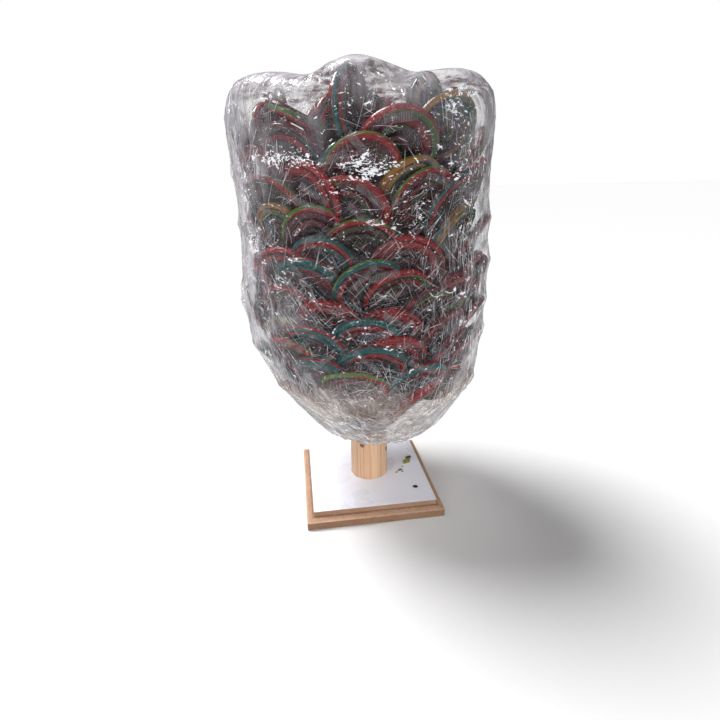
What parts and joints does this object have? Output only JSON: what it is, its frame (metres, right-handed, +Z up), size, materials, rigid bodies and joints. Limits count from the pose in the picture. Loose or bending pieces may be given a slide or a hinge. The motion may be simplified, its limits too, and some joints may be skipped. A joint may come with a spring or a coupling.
{
  "type": "wrapped lollipop tree",
  "caption": "Bunch of swirl lollipops stuck round a wooden post and wrapped in clear film, standing on a square moulded base board.",
  "frame": {"origin": "middle of the base board's underside", "axes": "+Z up along the post, -Y to the front, +X to the right"},
  "size_m": [0.2549, 0.2496, 0.4301],
  "materials": {
    "board": "bare fibreboard with a routed edge",
    "white_face": "smooth white laminate",
    "post_wood": "bare planed softwood",
    "film": "crumpled clear stretch film in several layers",
    "candy": "glossy boiled sugar in twisted coloured strands",
    "stick": "thin plain sticks",
    "wrapper": "clear wrapper with crimped seams"
  },
  "bodies": {
    "root": {"base_board": "board", "white_facing": "white_face", "post": "post_wood", "wrapped_lollipops": "film"}
  },
  "joints": []
}
